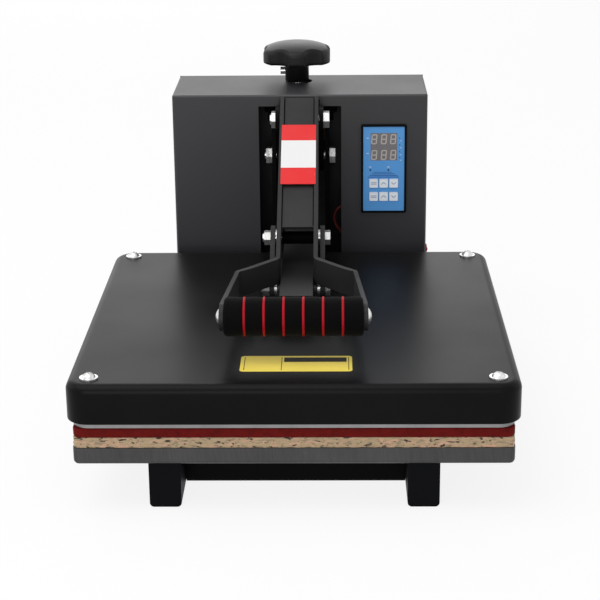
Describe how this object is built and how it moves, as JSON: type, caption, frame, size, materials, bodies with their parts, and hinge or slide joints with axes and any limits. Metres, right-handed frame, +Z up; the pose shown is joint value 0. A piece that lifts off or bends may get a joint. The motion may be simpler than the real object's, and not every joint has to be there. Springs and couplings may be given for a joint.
{
  "type": "clamshell heat press",
  "caption": "Bench clamshell heat press: square heated platen under a cover, toggle lever with foam grip, rear control box with pressure knob and controller.",
  "frame": {"origin": "on the bench, under the middle of the overall box", "axes": "+X to the operator's right, +Y to the back, +Z up; the platen lies towards -Y and the control box towards +Y"},
  "size_m": [0.39, 0.534, 0.3261],
  "materials": {
    "frame_paint": "satin black powder coat",
    "cover_paint": "fine-textured black powder coat",
    "box_paint": "fine-textured black powder coat",
    "lever_paint": "satin black powder coat",
    "cast_platen": "machined, lightly oxidised",
    "heater_metal": "machined, bright",
    "felt": "flecked felt",
    "silicone": "dark red silicone foam",
    "wool_board": "ceramic wool board",
    "zinc_steel": "bright zinc",
    "black_plastic": "moulded, matte",
    "knob_plastic": "moulded, semi-gloss",
    "grip_foam": "closed-cell foam",
    "ring_red": "red rubber",
    "bronze": "oiled bronze",
    "panel_blue": "printed film",
    "window_dark": "smoked window",
    "key_white": "moulded",
    "rocker_red": "moulded, glossy",
    "relay_grey": "moulded",
    "wire_red": "insulated lead"
  },
  "bodies": {
    "base": {"base_rail_left": "frame_paint", "base_rail_right": "frame_paint", "rail_end_plugs": "black_plastic", "front_crossmember": "frame_paint", "middle_crossmember": "frame_paint", "rear_crossmember": "frame_paint", "lower_platen": "cast_platen", "platen_bolts": "zinc_steel", "felt_pad": "felt", "silicone_pad": "silicone", "mast_base_plate": "frame_paint", "post_left": "frame_paint", "post_right": "frame_paint", "top_bridge": "frame_paint", "mast_bolts": "zinc_steel", "hinge_bolt": "zinc_steel", "control_box_shell": "box_paint", "control_box_back": "box_paint", "box_screws": "zinc_steel", "controller_housing": "black_plastic", "controller_face": "panel_blue", "display_window": "window_dark", "switch_housing": "black_plastic", "power_inlet": "black_plastic", "solid_state_relay": "relay_grey", "box_wires": "wire_red"},
    "head": {"cover": "cover_paint", "heater_plate": "heater_metal", "insulation": "wool_board", "head_spacers": "zinc_steel", "cover_screws": "zinc_steel", "head_arm": "lever_paint", "head_mount_plate": "lever_paint", "mount_bolts": "zinc_steel", "arm_cheeks": "lever_paint"},
    "link": {"link_plate_left": "lever_paint", "link_plate_right": "lever_paint", "link_washers": "zinc_steel", "link_bolt_front": "zinc_steel", "link_bolt_rear": "zinc_steel"},
    "lever": {"lever_side_left": "lever_paint", "lever_side_right": "lever_paint", "lever_web": "lever_paint", "grip_tube": "zinc_steel", "foam_grip": "grip_foam", "grip_rings": "ring_red", "grip_screws": "zinc_steel"},
    "bracket": {"bracket_ears": "frame_paint", "nut_block": "bronze", "lever_bolt": "zinc_steel"},
    "knob": {"pressure_screw": "zinc_steel", "thrust_collars": "zinc_steel", "pressure_knob": "knob_plastic"},
    "rocker": {"power_rocker": "rocker_red"},
    "key_1": {"controller_key_1": "key_white"},
    "key_2": {"controller_key_2": "key_white"},
    "key_3": {"controller_key_3": "key_white"},
    "key_4": {"controller_key_4": "key_white"},
    "key_5": {"controller_key_5": "key_white"},
    "key_6": {"controller_key_6": "key_white"}
  },
  "joints": [
    {"name": "head_hinge", "type": "hinge", "parent": "base", "child": "head", "pos_m": [0, 0.198, 0.2062], "axis": [-1, 0, 0], "range_deg": [0, 45]},
    {"name": "link_hinge", "type": "hinge", "parent": "head", "child": "link", "pos_m": [0, -0.05, 0.1353], "axis": [-1, 0, 0], "range_deg": [-51, 0]},
    {"name": "bracket_slide", "type": "slide", "parent": "base", "child": "bracket", "axis": [0, 0, 1], "range_m": [-0.0015, 0.0015]},
    {"name": "lever_hinge", "type": "hinge", "parent": "bracket", "child": "lever", "pos_m": [0, 0.1316, 0.26], "axis": [-1, 0, 0], "range_deg": [0, 80]},
    {"name": "knob_turn", "type": "hinge", "parent": "base", "child": "knob", "pos_m": [-0.004, 0.229, 0.29], "axis": [0, 0, 1], "range_deg": [-360, 360]},
    {"name": "rocker_tilt", "type": "hinge", "parent": "base", "child": "rocker", "pos_m": [0.13425, 0.203, 0.09], "axis": [0, 1, 0], "range_deg": [-20, 0]},
    {"name": "key_1_press", "type": "slide", "parent": "base", "child": "key_1", "axis": [0, 1, 0], "range_m": [0, 0.0006], "stiffness_N_per_m": 400, "springref_m": -0.0005},
    {"name": "key_2_press", "type": "slide", "parent": "base", "child": "key_2", "axis": [0, 1, 0], "range_m": [0, 0.0006], "stiffness_N_per_m": 400, "springref_m": -0.0005},
    {"name": "key_3_press", "type": "slide", "parent": "base", "child": "key_3", "axis": [0, 1, 0], "range_m": [0, 0.0006], "stiffness_N_per_m": 400, "springref_m": -0.0005},
    {"name": "key_4_press", "type": "slide", "parent": "base", "child": "key_4", "axis": [0, 1, 0], "range_m": [0, 0.0006], "stiffness_N_per_m": 400, "springref_m": -0.0005},
    {"name": "key_5_press", "type": "slide", "parent": "base", "child": "key_5", "axis": [0, 1, 0], "range_m": [0, 0.0006], "stiffness_N_per_m": 400, "springref_m": -0.0005},
    {"name": "key_6_press", "type": "slide", "parent": "base", "child": "key_6", "axis": [0, 1, 0], "range_m": [0, 0.0006], "stiffness_N_per_m": 400, "springref_m": -0.0005}
  ],
  "couplings": [
    {"joint": "link_hinge", "follows": "head_hinge", "ratio": -1.1333},
    {"joint": "lever_hinge", "follows": "head_hinge", "ratio": 1.7778},
    {"joint": "knob_turn", "follows": "bracket_slide", "rad_per_m": 4188.8}
  ]
}
